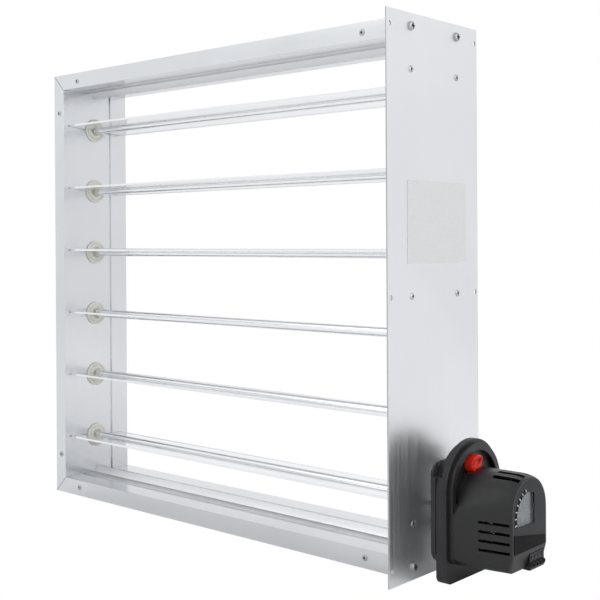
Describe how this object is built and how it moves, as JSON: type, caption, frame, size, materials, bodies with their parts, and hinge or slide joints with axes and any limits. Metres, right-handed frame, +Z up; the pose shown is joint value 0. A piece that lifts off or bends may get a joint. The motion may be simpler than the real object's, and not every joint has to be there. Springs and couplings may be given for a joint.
{
  "type": "motorized duct damper",
  "caption": "Rectangular parallel-blade duct damper: mitred aluminium channel frame, thin blades on bushes, side mounting plate and a dark stand-off rotary actuator with a red release button.",
  "frame": {"origin": "centre of the mounting plate's duct-side face", "axes": "+X out of the duct towards the actuator, +Y along the air flow, +Z up; the frame lies at negative X"},
  "size_m": [0.6034, 0.141, 0.494],
  "materials": {
    "aluminium": "mill finish, satin",
    "zinc_steel": "zinc plated",
    "paper": "matt paper",
    "ivory_plastic": "moulded",
    "charcoal_plastic": "fine-grained",
    "panel_plastic": "satin",
    "black_plastic": "gloss",
    "window": "clear plastic",
    "silver_plastic": "silver paint",
    "red_plastic": "satin",
    "board": "solder mask",
    "brass": "machined"
  },
  "bodies": {
    "frame": {"left_jamb": "aluminium", "right_jamb": "aluminium", "top_rail": "aluminium", "bottom_rail": "aluminium", "top_stop": "aluminium", "bottom_stop": "aluminium", "mounting_plate": "aluminium", "front_corner_plates": "zinc_steel", "rear_corner_plates": "zinc_steel", "corner_rivets": "zinc_steel", "plate_screws": "zinc_steel", "plate_rivets": "zinc_steel", "standoff_studs": "zinc_steel", "stud_nuts": "zinc_steel", "gear_plate": "zinc_steel", "gear_pin": "zinc_steel", "motor": "zinc_steel", "terminal_screws": "zinc_steel", "case_screws": "zinc_steel", "button_spring": "zinc_steel", "blank_label": "paper", "left_bushes": "ivory_plastic", "right_bushes": "ivory_plastic", "plate_bush": "ivory_plastic", "actuator_base": "charcoal_plastic", "gear_case": "charcoal_plastic", "housing": "charcoal_plastic", "front_panel": "panel_plastic", "control_strip": "black_plastic", "terminal_block": "black_plastic", "indicator_window": "window", "circuit_board": "board"},
    "drive_blade": {"blade_1": "aluminium", "axles_1": "zinc_steel", "crank_1": "zinc_steel", "output_gear": "ivory_plastic", "indicator_disc": "silver_plastic"},
    "blade_2": {"blade_2": "aluminium", "axles_2": "zinc_steel", "crank_2": "zinc_steel"},
    "blade_3": {"blade_3": "aluminium", "axles_3": "zinc_steel", "crank_3": "zinc_steel"},
    "blade_4": {"blade_4": "aluminium", "axles_4": "zinc_steel", "crank_4": "zinc_steel"},
    "blade_5": {"blade_5": "aluminium", "axles_5": "zinc_steel", "crank_5": "zinc_steel"},
    "blade_6": {"blade_6": "aluminium", "axles_6": "zinc_steel", "crank_6": "zinc_steel"},
    "tie_bar": {"tie_bar": "zinc_steel"},
    "reduction_gear": {"reduction_gear": "ivory_plastic"},
    "motor_pinion": {"motor_pinion": "brass"},
    "release_button": {"release_button": "red_plastic"}
  },
  "joints": [
    {"name": "drive_turn", "type": "hinge", "parent": "frame", "child": "drive_blade", "pos_m": [-0.253, 0, -0.1825], "axis": [1, 0, 0], "range_deg": [0, 92]},
    {"name": "blade_2_turn", "type": "hinge", "parent": "frame", "child": "blade_2", "pos_m": [-0.253, 0, -0.1095], "axis": [1, 0, 0], "range_deg": [0, 92]},
    {"name": "blade_3_turn", "type": "hinge", "parent": "frame", "child": "blade_3", "pos_m": [-0.253, 0, -0.0365], "axis": [1, 0, 0], "range_deg": [0, 92]},
    {"name": "blade_4_turn", "type": "hinge", "parent": "frame", "child": "blade_4", "pos_m": [-0.253, 0, 0.0365], "axis": [1, 0, 0], "range_deg": [0, 92]},
    {"name": "blade_5_turn", "type": "hinge", "parent": "frame", "child": "blade_5", "pos_m": [-0.253, 0, 0.1095], "axis": [1, 0, 0], "range_deg": [0, 92]},
    {"name": "blade_6_turn", "type": "hinge", "parent": "frame", "child": "blade_6", "pos_m": [-0.253, 0, 0.1825], "axis": [1, 0, 0], "range_deg": [0, 92]},
    {"name": "tie_bar_turn", "type": "hinge", "parent": "drive_blade", "child": "tie_bar", "pos_m": [-0.00615, 0.01389, -0.19689], "axis": [1, 0, 0], "range_deg": [-92, 0]},
    {"name": "reduction_turn", "type": "hinge", "parent": "frame", "child": "reduction_gear", "pos_m": [0.0373, 0, -0.2125], "axis": [1, 0, 0], "range_deg": [-368, 0]},
    {"name": "motor_turn", "type": "hinge", "parent": "frame", "child": "motor_pinion", "pos_m": [0.037, -0.01757, -0.19926], "axis": [1, 0, 0], "range_deg": [0, 1251.2]},
    {"name": "button_press", "type": "slide", "parent": "frame", "child": "release_button", "axis": [0, 0, -1], "range_m": [0, 0.003], "stiffness_N_per_m": 400, "springref_m": -0.001, "deforming": ["button_spring"]}
  ],
  "couplings": [
    {"joint": "blade_2_turn", "follows": "drive_turn", "ratio": 1},
    {"joint": "blade_3_turn", "follows": "drive_turn", "ratio": 1},
    {"joint": "blade_4_turn", "follows": "drive_turn", "ratio": 1},
    {"joint": "blade_5_turn", "follows": "drive_turn", "ratio": 1},
    {"joint": "blade_6_turn", "follows": "drive_turn", "ratio": 1},
    {"joint": "tie_bar_turn", "follows": "drive_turn", "ratio": -1},
    {"joint": "reduction_turn", "follows": "drive_turn", "ratio": -4},
    {"joint": "motor_turn", "follows": "drive_turn", "ratio": 13.6}
  ]
}
